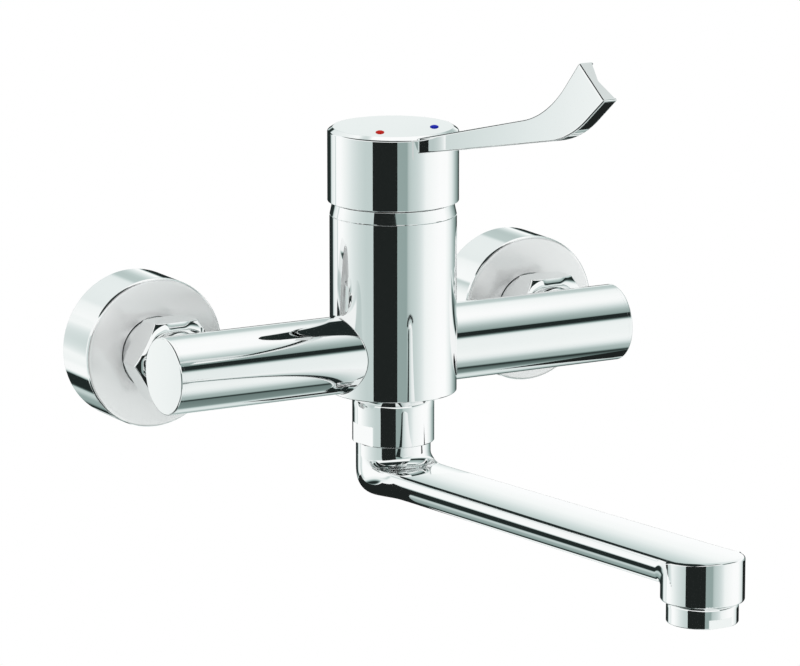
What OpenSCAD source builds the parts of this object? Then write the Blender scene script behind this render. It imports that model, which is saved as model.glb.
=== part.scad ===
// Wall-mounted single-lever sink mixer with a swivelling cast spout and a long elbow lever.
// Origin: wall plane, midway between the two inlets, at the height of the cross bar's axis.
// X runs along the wall, Y points into the wall, Z points up. Millimetres.

/* [Body and cross bar] */
// Distance between the two inlet axes
inlet_centres = 150; // [140:1:160]
// Distance from the wall to the axis of the upright body
wall_distance = 53; // [50:0.5:60]
// Diameter of the upright body
body_d = 44; // [43:0.2:46]
// Height of the body's top edge above the bar axis
body_top = 47.5; // [47:0.5:52]
// Depth of the body's underside below the bar axis
body_bottom = 14.5; // [14:0.5:18]
// Diameter of the cross bar
bar_d = 26.8; // [25:0.2:28]
// Length of bar beyond each inlet axis
bar_overhang = 14.5; // [12:0.5:20]
// Diameter of the water bore in each half of the bar
bar_bore_d = 13; // [10:0.5:13]
// Thickness of the domed cover on each bar end
end_cover_t = 1.6; // [1:0.1:3]
// Depth of the plug behind each end cover
end_plug_l = 6; // [4:0.5:10]

/* [Wall connections] */
// Outer diameter of each wall escutcheon
escutcheon_d = 52.4; // [50:0.2:60]
// Depth of each escutcheon from the wall to its front face
escutcheon_depth = 19; // [17:0.5:22]
// Sheet thickness of the escutcheons
escutcheon_wall = 1.2; // [1:0.1:2]
// Width across the flats of the union nuts
nut_af = 28; // [27.5:0.5:32]
// Length of the union nuts
nut_length = 11; // [10.5:0.5:12]
// Gap between each union nut and the escutcheon behind it
nut_gap = 6; // [5:0.5:7]
// Pitch diameter of the union thread, G3/4
union_thread_d = 25.3; // [24.8:0.1:25.6]
// Neck diameter of the inlet nipples
nipple_neck_d = 20.4; // [20:0.1:21]
// Thickness of the rubber washer in each union
washer_t = 2; // [1.5:0.1:2.5]
// Outer diameter of the wall tails, G1/2
tail_d = 20.96; // [20:0.02:21]
// Length of the wall tails behind the wall plane
tail_length = 16; // [12:0.5:24]
// Bore of the wall tails
tail_bore_d = 13; // [11:0.5:14]
// Drop of the wall tails below the inlet axes, made by the eccentric connectors
tail_offset = 8; // [6:0.5:10]

/* [Check valves] */
// Outer diameter of the check valve cartridges
check_d = 15; // [14.6:0.1:15.4]
// Length of the check valve cartridges
check_length = 12; // [11:0.5:12]
// Diameter of the poppet heads
poppet_d = 9.6; // [9:0.1:9.8]

/* [Cartridge] */
// Outer diameter of the ceramic cartridge
cartridge_d = 34.8; // [34:0.1:35]
// Height of the chamber floor above the bar axis
chamber_floor = 17; // [16:0.5:17.5]
// Thickness of the body's wall round the retaining nut's thread
retainer_wall = 3; // [2.7:0.1:3.2]
// Height of the cartridge base
base_h = 5.5; // [5:0.1:5.8]
// Thickness of each ceramic disc
disc_t = 4; // [3.5:0.1:4.2]
// Diameter of the moving disc
moving_disc_d = 22; // [21:0.1:22]
// Diameter of the two inlet ports
inlet_port_d = 4.6; // [4:0.1:4.8]
// Diameter of the outlet port
outlet_port_d = 5.6; // [5:0.1:5.8]
// Distance from the tilt axis down to the stem's ball
stem_arm = 9; // [8.5:0.1:9.2]
// Diameter of the stem's ball
ball_d = 6; // [5.4:0.1:6.2]
// Side of the stem's square
stem_square = 8; // [7:0.1:8.4]
// Diameter of the tilt pin
pin_d = 3; // [2.5:0.1:3.5]

/* [Cap and lever] */
// How far the cap stands out past the body
cap_overhang = 0.7; // [0.5:0.1:1.5]
// Height of the cap
cap_h = 25.8; // [24:0.1:30]
// Height of the tapered ring between body and cap
ring_h = 4.6; // [4.6:0.1:5]
// How far the ring draws in from the body at its top
ring_taper = 1; // [0.8:0.05:1.05]
// Width of the bevel round the cap's top
bevel_w = 1.9; // [0.5:0.1:3]
// Height of the bevel round the cap's top
bevel_h = 1.3; // [0.5:0.1:3]
// Thickness of the lever fin
lever_t = 5.4; // [4:0.1:8]
// Straight length of the lever's upper edge, from the cap's side
lever_top_run = 68; // [60:1:90]
// Straight length of the lever's lower edge, from the cap's side
lever_low_run = 86; // [70:1:100]
// Rise of the lever's upper edge in degrees
lever_top_rise = 13.8; // [8:0.2:18]
// Rise of the lever's lower edge in degrees
lever_low_rise = 11.8; // [6:0.2:15]
// Height of the lever where it leaves the cap
lever_root_h = 5.5; // [4:0.1:7]
// Bend radius of the upper edge
lever_top_r = 57; // [40:1:70]
// Turn of the upper edge in degrees
lever_top_turn = 32; // [26:1:40]
// Bend radius of the lower edge
lever_low_r = 57; // [50:1:90]
// Turn of the lower edge in degrees
lever_low_turn = 25; // [20:1:32]
// Straight length of the upper edge beyond its bend
lever_top_tip = 12.3; // [8:0.1:16]
// Straight length of the lower edge beyond its bend
lever_low_tip = 13.8; // [9:0.1:18]
// Diameter of the hot and cold marks
mark_d = 3; // [2:0.1:5]
// Distance between the marks
mark_spacing = 21.4; // [16:0.2:30]
// How far the marks sit to the right of the middle, as the photo shows them
mark_shift = 0.9; // [0:0.1:2]

/* [Spout] */
// Reach of the spout from the body axis to the outlet axis
spout_reach = 200; // [150:5:250]
// Rise of the spout arm in degrees
arm_rise = 3.25; // [0:0.25:4]
// Width of the arm at its root
arm_root_w = 23.2; // [22:0.2:25]
// Width of the arm at the outlet
arm_end_w = 26.5; // [25:0.1:26.8]
// Thickness of the arm
arm_t = 12.2; // [11.6:0.1:13]
// Height of the waterway inside the arm
waterway_h = 6; // [5:0.1:6.2]
// Diameter of the stub under the collar nut
stub_d = 26; // [25:0.1:27]
// Depth of the arm's top face below the bar axis, at the body axis
arm_drop = 40.1; // [38:0.1:44]
// Diameter of the outlet drum
drum_d = 27; // [26.6:0.1:29]
// Height of the outlet drum's side at its axis
drum_h = 14.2; // [13.6:0.1:18]
// Outer diameter of the collar nut
collar_d = 28.5; // [28:0.1:31]
// Length of the collar nut
collar_h = 17.8; // [17:0.1:20]
// Width across the two spanner flats of the collar nut
collar_af = 26.2; // [25.6:0.1:27.5]
// Diameter of the spout's spigot
spigot_d = 18.9; // [18:0.1:19]

/* [Aerator] */
// Diameter of the aerator's visible ring
aerator_d = 23.2; // [22.6:0.1:24]
// Height of the aerator's visible ring
aerator_h = 7.2; // [5:0.1:10]
// Diameter of the aerator's thread, M22
aerator_thread_d = 21.8; // [21:0.1:22]
// Width across the two spanner flats of the aerator
aerator_af = 21.5; // [20.5:0.1:22.5]

/* [Hidden] */
$fn = 96;

fit = 0.05;
slip = 0.1;
cut = 1;
body_r = body_d / 2;
bar_r = bar_d / 2;
bar_half = inlet_centres / 2 + bar_overhang;
bar_bore_r = bar_bore_d / 2;
body_edge_r = 0.4;

// Along the wall connections, v is the distance from the body axis towards the wall
escutcheon_front_v = wall_distance - escutcheon_depth;
nut_back_v = escutcheon_front_v - nut_gap;
nut_front_v = nut_back_v - nut_length;
nut_lip = 3;
nut_chamfer = 1.6;
boss_r = nipple_neck_d / 2 + 0.8;
boss_v = bar_r + 1.1;
nipple_thread_r = nipple_neck_d / 2 - 0.6;
nipple_start_v = bar_bore_r + 1;
nipple_flange_v = nut_front_v + nut_lip;
nipple_flange_t = 2.5;
nipple_end_v = nipple_flange_v + nipple_flange_t;
union_r = union_thread_d / 2;
flange_r = union_r - 0.5;
washer_end_v = nipple_end_v + washer_t;
washer_hole_r = 8.6;
strainer_t = 0.8;
connector_stop_v = escutcheon_front_v + escutcheon_wall;
connector_stop_t = 3;
connector_stop_r = union_r + 2.4;
connector_body_r = union_r;
connector_split_v = wall_distance - 10;
connector_bore_r = 8;
tail_r = tail_d / 2;
tail_body_r = tail_r + 0.9;
tail_start_v = connector_stop_v + connector_stop_t;

check_r = check_d / 2;
check_end_v = nipple_end_v;
check_start_v = check_end_v - check_length;
check_bore_r = poppet_d / 2 + 0.45;
seat_t = 2;
seat_r = poppet_d / 2 - 0.9;
spider_t = 1.5;
poppet_stem_r = 1.5;
poppet_head_t = 1.8;
poppet_back_v = check_end_v - seat_t - 0.02;
spring_wire_r = 0.35;
spring_r = poppet_stem_r + spring_wire_r + 0.35;
spring_turns = 5;

chamber_r = cartridge_d / 2 + 0.4;
retainer_r = body_r - retainer_wall;
port_x = 6.5;
inlet_port_y = -5.2;
outlet_port_y = 4;
base_top = chamber_floor + base_h;
fixed_top = base_top + disc_t;
moving_top = fixed_top + disc_t;
tilt_z = moving_top + 4.5 + stem_arm;
housing_wall = 2.3;
housing_r = cartridge_d / 2;
housing_inner_r = housing_r - housing_wall;
fixed_disc_r = housing_inner_r - 0.1;
carrier_h = 6.5;
carrier_top = moving_top + carrier_h;
carrier_w = 22;
carrier_d = 12;
rotor_bottom = carrier_top + 0.3;
rotor_shoulder = rotor_bottom + 3.7;
shoulder_t = 2;
housing_neck_r = retainer_r - 5;
neck_r = housing_neck_r - 1.4;
neck_top = rotor_shoulder + 6.9;
retainer_bottom = rotor_shoulder + shoulder_t;
limiter_t = 2;
limiter_in_r = neck_r - 3;
limiter_rim = 1.3;
lug_out_r = neck_r - 0.2;
lug_in_r = limiter_in_r + 0.4;
lug_half = 8;
turn_half = 45;
dog_r = 1.2;
dog_x = 7;
peg_r = 1.4;
peg_x = 12.4;
pin_r = pin_d / 2;
seal_r = 0.95;

ring_bottom = body_top;
ring_ledge = 1.5;
ring_top = ring_bottom + ring_h;
cap_bottom = ring_top + 0.3;
cap_top = cap_bottom + cap_h;
cap_r = body_r + cap_overhang;
skirt_wall = 1;
cap_roof = 6.2;
hub_r = 9;
hub_bottom = cap_bottom + 4.6;
grub_z = hub_bottom + 5;
grub_r = 2.5;
grub_hole_r = 3;
stem_top = hub_bottom + 9;
mark_depth = 0.6;
mark_y = -8.2;
retainer_flange_r = retainer_r + 0.9;

collar_top = -body_bottom;
collar_bottom = collar_top - collar_h;
collar_lip = 2.1;
collar_thread_r = 12;
collar_flat_h = 7;
collar_flat_turn = 8;
outlet_boss_l = 11;
spigot_r = spigot_d / 2;
spigot_bore_r = spigot_r - 2.9;
outlet_bore_top = collar_top + 4.5;
stub_r = stub_d / 2;
stub_top = collar_bottom - 0.15;
elbow_r = 9;
stub_bottom = -arm_drop - arm_t - 0.3;
clip_t = 2;
clip_r = collar_thread_r - 0.6;
clip_groove_r = spigot_r - 1.25;
drum_r = drum_d / 2;
drum_bottom = -arm_drop + spout_reach * tan(arm_rise) - drum_h;
aerator_r = aerator_d / 2;
aerator_thread_r = aerator_thread_d / 2;
aerator_neck_l = 3.7;
aerator_washer_t = 1.5;
aerator_bottom = drum_bottom - aerator_h;
outlet_seat = drum_bottom + aerator_neck_l + aerator_washer_t + 0.1;
outlet_chamber_r = aerator_thread_r - 1.9;
insert_r = aerator_thread_r - 1.5;
waterway_r = waterway_h / 2;
waterway_half = 5;
waterway_drop = 5;

CHROME = "#d9dddd";
BRASS = "#c9a85a";
STEEL = "#b4b8ba";
RUBBER = "#26282a";
WHITE_PLASTIC = "#e6e4dc";
GREY_PLASTIC = "#8d9294";
CERAMIC = "#f3f0e8";

// Points on an arc that starts at p with heading a and turns by t degrees on radius r
function arc_run(p, a, t, r, n) = [
    for (i = [0:n])
        let(b = a + t * i / n)
        [p[0] + r * (sin(b) - sin(a)), p[1] - r * (cos(b) - cos(a))]
];

// The same arc with a straight run beyond it
function arc_and_tip(p, a, t, r, n, tip) =
    let(arc = arc_run(p, a, t, r, n))
    concat(arc, [arc[n] + tip * [cos(a + t), sin(a + t)]]);

module at_body() {
    translate([0, -wall_distance, 0]) children();
}

module at_inlet(side) {
    translate([side * inlet_centres / 2, -wall_distance, 0]) children();
}

// Cylinder on the inlet axis from v0 to v1, where v runs towards the wall
module bar_v(r, v0, v1) {
    translate([0, v0, 0]) rotate([-90, 0, 0]) cylinder(r = r, h = v1 - v0);
}

module disc(r, z0, z1) {
    translate([0, 0, z0]) cylinder(r = r, h = z1 - z0);
}

module tube(r_out, r_in, z0, z1) {
    difference() {
        disc(r_out, z0, z1);
        disc(r_in, z0 - cut, z1 + cut);
    }
}

// Round bar with rounded edges at both ends, on Z
module rounded_disc(r, z0, z1, edge) {
    rotate_extrude()
        polygon(concat(
            [[0, z0], [r - edge, z0]],
            [for (a = [-75:15:0]) [r - edge + edge * cos(a), z0 + edge + edge * sin(a)]],
            [for (a = [0:15:75]) [r - edge + edge * cos(a), z1 - edge + edge * sin(a)]],
            [[r - edge, z1], [0, z1]]));
}

module at_ports() {
    for (side = [-1, 1]) translate([side * port_x, inlet_port_y, 0]) children();
}

module body_casting() {
    color(CHROME)
    at_body() difference() {
        union() {
            rounded_disc(body_r, -body_bottom, body_top, body_edge_r);
            translate([-bar_half + end_cover_t, 0, 0]) rotate([0, 90, 0])
                cylinder(r = bar_r, h = 2 * (bar_half - end_cover_t));
            for (side = [-1, 1]) translate([side * inlet_centres / 2, 0, 0]) bar_v(boss_r, 0, boss_v);
            disc(collar_thread_r, -body_bottom - outlet_boss_l, 0);
        }
        // Cartridge chamber and the retaining nut's thread
        disc(chamber_r, chamber_floor, body_top + cut);
        disc(retainer_r, retainer_bottom, body_top + cut);
        // Ports up to the cartridge and the drain down to the spout
        at_ports() disc(inlet_port_d / 2, 0, chamber_floor + cut);
        translate([0, outlet_port_y, 0])
            disc(outlet_port_d / 2, outlet_bore_top - cut, chamber_floor + cut);
        for (side = [-1, 1]) translate([side * peg_x, 0, 0])
            disc(peg_r + fit, chamber_floor - 3, chamber_floor + cut);
        // Bores along the bar, and the inlets in its back
        for (side = [-1, 1]) {
            translate([side * (outlet_port_d / 2 + 1.6), 0, 0]) rotate([0, side * 90, 0])
                cylinder(r = bar_bore_r, h = bar_half);
            translate([side * inlet_centres / 2, 0, 0]) bar_v(nipple_thread_r, 0, boss_v + cut);
        }
        disc(spigot_r + fit, -body_bottom - outlet_boss_l - cut, outlet_bore_top);
    }
}

module end_cover(side) {
    color(CHROME)
    at_body() rotate([0, side * 90, 0]) union() {
        rotate_extrude()
            polygon(concat(
                [[0, bar_half - end_cover_t], [bar_r, bar_half - end_cover_t]],
                [for (a = [0:15:90]) [
                    bar_r - end_cover_t * 0.7 * (1 - cos(a)),
                    bar_half - end_cover_t * 0.8 * (1 - sin(a)) - 0.12
                ]],
                [[bar_r * 0.6, bar_half - 0.03], [0, bar_half]]));
        disc(bar_bore_r, bar_half - end_cover_t - end_plug_l, bar_half - end_cover_t + 0.2);
    }
}

module inlet_nipple(side) {
    color(CHROME)
    at_inlet(side) difference() {
        union() {
            bar_v(nipple_thread_r, nipple_start_v, boss_v);
            bar_v(nipple_neck_d / 2, boss_v, nipple_flange_v);
            bar_v(flange_r, nipple_flange_v, nipple_end_v);
        }
        bar_v(check_r + fit, check_start_v, nipple_end_v + cut);
        bar_v(check_bore_r, nipple_start_v - cut, nipple_end_v + cut);
    }
}

module union_nut(side) {
    nut_corner_r = nut_af / 2 / cos(30);
    color(CHROME)
    at_inlet(side) difference() {
        intersection() {
            translate([0, nut_front_v, 0]) rotate([-90, 0, 0]) cylinder(r = nut_corner_r, h = nut_length, $fn = 6);
            // Round chamfers at both ends of the hexagon
            translate([0, nut_front_v, 0]) rotate([-90, 0, 0]) rotate_extrude()
                polygon([
                    [0, 0], [nut_corner_r - nut_chamfer, 0], [nut_corner_r + 0.6, nut_chamfer * 0.8],
                    [nut_corner_r + 0.6, nut_length - nut_chamfer * 0.8],
                    [nut_corner_r - nut_chamfer, nut_length], [0, nut_length]
                ]);
        }
        bar_v(nipple_neck_d / 2 + slip, nut_front_v - cut, nut_back_v + cut);
        bar_v(union_r, nut_front_v + nut_lip, nut_back_v + cut);
    }
}

module washer(side) {
    color(RUBBER)
    at_inlet(side) difference() {
        bar_v(flange_r, nipple_end_v, washer_end_v);
        bar_v(washer_hole_r, nipple_end_v - cut, washer_end_v + cut);
    }
}

module strainer(side) {
    hole_r = 0.7;
    pitch = 2.3;
    color(STEEL)
    at_inlet(side) difference() {
        bar_v(washer_hole_r, nipple_end_v, nipple_end_v + strainer_t);
        for (row = [-3:3], col = [-3:3])
            let(x = (col + (row % 2 == 0 ? 0 : 0.5)) * pitch, z = row * pitch * sin(60))
            if (sqrt(x * x + z * z) < washer_hole_r - 1.6)
                translate([x, 0, z]) bar_v(hole_r, nipple_end_v - cut, nipple_end_v + strainer_t + cut);
    }
}

module connector(side) {
    color(CHROME)
    at_inlet(side) difference() {
        union() {
            bar_v(connector_body_r, washer_end_v, connector_split_v);
            bar_v(connector_stop_r, connector_stop_v, connector_stop_v + connector_stop_t);
            translate([0, 0, -tail_offset]) {
                bar_v(tail_body_r, tail_start_v, wall_distance);
                bar_v(tail_r, wall_distance - cut, wall_distance + tail_length);
            }
        }
        bar_v(connector_bore_r, washer_end_v - cut, tail_start_v + 2);
        translate([0, 0, -tail_offset]) bar_v(tail_bore_d / 2, tail_start_v + 0.5, wall_distance + tail_length + cut);
    }
}

module escutcheon(side) {
    edge = 0.5;
    r = escutcheon_d / 2;
    color(CHROME)
    at_inlet(side) translate([0, wall_distance, 0]) rotate([90, 0, 0]) rotate_extrude()
        polygon(concat(
            [[r - escutcheon_wall, 0], [r, 0]],
            [for (a = [0:15:90]) [r - edge * (1 - cos(a)), escutcheon_depth - edge * (1 - sin(a))]],
            [
                [connector_body_r + 0.2, escutcheon_depth],
                [connector_body_r + 0.2, escutcheon_depth - escutcheon_wall],
                [r - escutcheon_wall, escutcheon_depth - escutcheon_wall]
            ]));
}

module check_valve(side) {
    color(WHITE_PLASTIC)
    at_inlet(side) difference() {
        bar_v(check_r, check_start_v, check_end_v);
        bar_v(check_bore_r, check_start_v + spider_t, check_end_v - seat_t);
        bar_v(seat_r, check_end_v - seat_t - cut, check_end_v + cut);
        bar_v(poppet_stem_r + fit, check_start_v - cut, check_start_v + spider_t + cut);
        // Water passages round the stem guide
        for (a = [0:60:300]) rotate([0, a, 0]) translate([3.4, 0, 0])
            bar_v(1.2, check_start_v - cut, check_start_v + spider_t + cut);
    }
}

module check_poppet(side) {
    color(GREY_PLASTIC)
    at_inlet(side) union() {
        bar_v(poppet_d / 2, poppet_back_v - poppet_head_t, poppet_back_v);
        bar_v(poppet_stem_r, check_start_v - 0.5, poppet_back_v - poppet_head_t);
    }
}

// Coil round the poppet's stem, a six-sided wire swept along a helix
module check_spring(side) {
    v0 = check_start_v + spider_t + spring_wire_r;
    v1 = poppet_back_v - poppet_head_t - spring_wire_r;
    rings = spring_turns * 10;
    sides = 6;
    pts = [
        for (i = [0:rings], j = [0:sides - 1])
            let(a = 360 * spring_turns * i / rings, b = 360 * j / sides, r = spring_r + spring_wire_r * cos(b))
            [r * cos(a), v0 + (v1 - v0) * i / rings + spring_wire_r * sin(b), r * sin(a)]
    ];
    walls = [
        for (i = [0:rings - 1], j = [0:sides - 1])
            let(k = (j + 1) % sides, p = i * sides, q = p + sides)
            each [[p + j, p + k, q + k], [p + j, q + k, q + j]]
    ];
    caps = [
        [for (j = [sides - 1:-1:0]) j],
        [for (j = [0:sides - 1]) rings * sides + j]
    ];
    color(STEEL)
    at_inlet(side) polyhedron(points = pts, faces = concat(walls, caps));
}

module cartridge_base() {
    color(GREY_PLASTIC)
    at_body() difference() {
        union() {
            disc(housing_r, chamber_floor, base_top);
            for (side = [-1, 1]) translate([side * peg_x, 0, 0])
                disc(peg_r, chamber_floor - 2.5, chamber_floor + cut);
        }
        at_ports() disc(inlet_port_d / 2, chamber_floor - cut, base_top + cut);
        translate([0, outlet_port_y, 0]) disc(outlet_port_d / 2, chamber_floor - cut, base_top + cut);
        // Grooves for the three port seals
        at_ports() port_groove(inlet_port_d / 2);
        translate([0, outlet_port_y, 0]) port_groove(outlet_port_d / 2);
    }
}

module port_groove(r) {
    disc(r + 2 * seal_r, chamber_floor - cut, chamber_floor + 1.6 * seal_r);
}

module port_seal(r) {
    tube(r + 1.9 * seal_r, r, chamber_floor, chamber_floor + 1.5 * seal_r);
}

module port_seals() {
    color(RUBBER)
    at_body() {
        at_ports() port_seal(inlet_port_d / 2);
        translate([0, outlet_port_y, 0]) port_seal(outlet_port_d / 2);
    }
}

module fixed_disc() {
    color(CERAMIC)
    at_body() difference() {
        disc(fixed_disc_r, base_top, fixed_top);
        at_ports() disc(inlet_port_d / 2, base_top - cut, fixed_top + cut);
        translate([0, outlet_port_y, 0]) disc(outlet_port_d / 2, base_top - cut, fixed_top + cut);
    }
}

module moving_disc() {
    recess_front = inlet_port_y + inlet_port_d / 2 + 1.3;
    recess_r = moving_disc_d / 2 - 1.4;
    color(CERAMIC)
    at_body() difference() {
        disc(moving_disc_d / 2, fixed_top, moving_top);
        // Mixing recess that joins the ports when the disc slides
        intersection() {
            disc(recess_r, fixed_top - cut, fixed_top + disc_t / 2);
            translate([-recess_r, recess_front, fixed_top - cut])
                cube([2 * recess_r, 2 * recess_r, disc_t]);
        }
        for (side = [-1, 1]) translate([side * dog_x, 0, 0]) disc(dog_r + fit, moving_top - 1.4, moving_top + cut);
    }
}

module disc_carrier() {
    pocket_half = ball_d / 2 + 0.25;
    color(WHITE_PLASTIC)
    at_body() difference() {
        union() {
            translate([-carrier_w / 2, -carrier_d / 2, moving_top]) cube([carrier_w, carrier_d, carrier_h]);
            for (side = [-1, 1]) translate([side * dog_x, 0, 0]) disc(dog_r, moving_top - 1.2, moving_top + cut);
        }
        translate([-pocket_half, -pocket_half, moving_top + 1])
            cube([2 * pocket_half, 2 * pocket_half, carrier_h]);
    }
}

module cartridge_housing() {
    color(GREY_PLASTIC)
    at_body() {
        difference() {
            union() {
                disc(housing_r, base_top, retainer_bottom);
                disc(housing_neck_r, base_top, neck_top + 0.1);
            }
            disc(housing_inner_r, base_top - cut, rotor_shoulder + fit);
            disc(neck_r + fit, base_top, neck_top + cut);
        }
    }
}

module cartridge_rotor() {
    slot_w = stem_square + 0.3;
    color(WHITE_PLASTIC)
    at_body() difference() {
        union() {
            disc(housing_inner_r - fit, rotor_bottom, rotor_shoulder);
            disc(neck_r, rotor_bottom, neck_top);
            // Two rails that guide the disc carrier
            intersection() {
                disc(housing_inner_r - fit, moving_top + 0.5, rotor_shoulder);
                for (side = [-1, 1])
                    translate([side * (carrier_w / 2 + slip + 10), 0, moving_top]) cube([20, 40, 40], center = true);
            }
            // Stop lug for the temperature limiter
            rotate_extrude(angle = 2 * lug_half, start = 90 - lug_half)
                translate([lug_in_r, neck_top - cut]) square([lug_out_r - lug_in_r, cut + 1.6]);
        }
        translate([-slot_w / 2, -7.5, rotor_bottom - cut]) cube([slot_w, 14.7, neck_top]);
        translate([-neck_r - cut, 0, tilt_z]) rotate([0, 90, 0]) cylinder(r = pin_r + 0.02, h = 2 * neck_r + 2 * cut);
    }
}

module tilt_pin() {
    color(STEEL)
    at_body() translate([-neck_r + 0.3, 0, tilt_z]) rotate([0, 90, 0]) cylinder(r = pin_r, h = 2 * neck_r - 0.6);
}

module temperature_limiter() {
    window = turn_half + lug_half + 1;
    color("#c8452f")
    at_body() difference() {
        tube(housing_neck_r - fit, limiter_in_r, neck_top + 0.1, neck_top + 0.1 + limiter_t);
        rotate_extrude(angle = 2 * window, start = 90 - window)
            translate([limiter_in_r - cut, neck_top]) square([housing_neck_r - limiter_rim - limiter_in_r + cut, limiter_t + cut]);
    }
}

module retaining_nut() {
    flange_bottom = ring_bottom + ring_ledge;
    flange_top = flange_bottom + 2;
    color(BRASS)
    at_body() difference() {
        union() {
            disc(retainer_r, retainer_bottom, flange_bottom);
            disc(retainer_flange_r, flange_bottom, flange_top);
        }
        disc(housing_neck_r + slip, retainer_bottom - cut, flange_top + cut);
        // Four notches for the pin spanner
        for (a = [45:90:315]) rotate([0, 0, a]) translate([16, -1.5, flange_bottom + 0.4]) cube([10, 3, 10]);
    }
}

module trim_ring() {
    color(CHROME)
    at_body() rotate_extrude()
        polygon([
            [retainer_r + slip, ring_bottom], [body_r - 0.5, ring_bottom], [body_r, ring_bottom + 0.4],
            [body_r - ring_taper, ring_top], [retainer_flange_r + slip, ring_top],
            [retainer_flange_r + slip, ring_bottom + ring_ledge], [retainer_r + slip, ring_bottom + ring_ledge]
        ]);
}

module lever_stem() {
    rod_r = ball_d / 2 - 1;
    square_bottom = tilt_z - 4;
    color(STEEL)
    at_body() difference() {
        union() {
            translate([0, 0, tilt_z - stem_arm]) sphere(r = ball_d / 2);
            disc(rod_r, tilt_z - stem_arm, tilt_z);
            translate([-stem_square / 2, -stem_square / 2, square_bottom])
                cube([stem_square, stem_square, stem_top - square_bottom]);
        }
        translate([-neck_r, 0, tilt_z]) rotate([0, 90, 0]) cylinder(r = pin_r + 0.02, h = 2 * neck_r);
    }
}

// Side outline of the lever in distance from the body axis and height
module lever_outline() {
    root = 12;
    top_z = cap_top - 0.35;
    low_z = top_z - lever_root_h;
    top_bend = [cap_r + lever_top_run, top_z + lever_top_run * tan(lever_top_rise)];
    low_bend = [cap_r + lever_low_run, low_z + lever_low_run * tan(lever_low_rise)];
    top_arc = arc_and_tip(top_bend, lever_top_rise, lever_top_turn, lever_top_r, 14, lever_top_tip);
    low_arc = arc_and_tip(low_bend, lever_low_rise, lever_low_turn, lever_low_r, 14, lever_low_tip);
    polygon(concat(
        [[root, low_z]],
        [[cap_r, low_z]],
        low_arc,
        [for (i = [len(top_arc) - 1:-1:0]) top_arc[i]],
        [[cap_r - bevel_w, top_z - bevel_w * tan(lever_top_rise)], [root, top_z - 1]]));
}

module cap_shell() {
    difference() {
        rotate_extrude()
            polygon([
                [0, cap_bottom], [cap_r - 0.8, cap_bottom], [cap_r - 0.25, cap_bottom + 0.25],
                [cap_r, cap_bottom + 0.8], [cap_r, cap_top - bevel_h], [cap_r - bevel_w, cap_top], [0, cap_top]
            ]);
        disc(cap_r - skirt_wall, cap_bottom - cut, cap_top - cap_roof);
    }
}

module lever_handle() {
    socket = stem_square + 2 * fit;
    socket_top = stem_top + 0.3;
    color(CHROME)
    at_body() difference() {
        union() {
            cap_shell();
            disc(hub_r, hub_bottom, cap_top - cap_roof + cut);
            // The fin stands upright and points away from the wall
            translate([lever_t / 2, 0, 0]) rotate([90, 0, -90]) linear_extrude(height = lever_t) lever_outline();
        }
        translate([-socket / 2, -socket / 2, hub_bottom - cut])
            cube([socket, socket, socket_top - hub_bottom + cut]);
        translate([0, 0, grub_z]) bar_v(grub_r, 0, hub_r + cut);
        translate([0, 0, grub_z]) bar_v(grub_hole_r, hub_r, cap_r + cut);
        for (side = [-1, 1]) translate([mark_shift + side * mark_spacing / 2, mark_y, 0])
            disc(mark_d / 2, cap_top - mark_depth, cap_top + cut);
    }
}

module grub_screw() {
    color(STEEL)
    at_body() translate([0, 0, grub_z]) difference() {
        bar_v(grub_r, stem_square / 2, hub_r - 0.2);
        translate([0, hub_r - 2.2, 0]) rotate([-90, 0, 0]) cylinder(r = 1.44, h = 4, $fn = 6);
    }
}

module mark(side) {
    at_body() translate([mark_shift + side * mark_spacing / 2, mark_y, 0]) disc(mark_d / 2, cap_top - mark_depth, cap_top);
}

module hot_mark() {
    color("#c8211c") mark(-1);
}

module cold_mark() {
    color("#1b2bb0") mark(1);
}

module collar_nut() {
    color(CHROME)
    at_body() difference() {
        rounded_disc(collar_d / 2, collar_bottom, collar_top, 0.5);
        disc(collar_thread_r, collar_top - outlet_boss_l, collar_top + cut);
        disc(collar_thread_r - 0.4, collar_bottom + collar_lip, collar_top);
        disc(spigot_r + slip, collar_bottom - cut, collar_top);
        // Two spanner flats at the lower end
        rotate([0, 0, collar_flat_turn]) for (side = [-1, 1])
            translate([side * (collar_af / 2 + 5), 0, collar_bottom + collar_flat_h / 2 - cut])
                cube([10, 40, collar_flat_h + 2 * cut], center = true);
    }
}

// Cross-section of the arm before its top is cut flat: upright sides, full rounded underside
module arm_section(width) {
    steps = 36;
    roundness = 1.95;
    polygon(concat(
        [[width / 2, cut]],
        [
            for (i = [0:steps])
                let(c = cos(180 * i / steps), s = sin(180 * i / steps))
                [width / 2 * sign(c) * pow(abs(c), 2 / roundness), -arm_t * pow(s, 2 / roundness)]
        ],
        [[-width / 2, cut]]));
}

// Plane of the arm's top face, with everything in it measured from the body axis
module on_arm_plane() {
    translate([0, 0, -arm_drop]) rotate([-arm_rise, 0, 0]) children();
}

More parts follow.
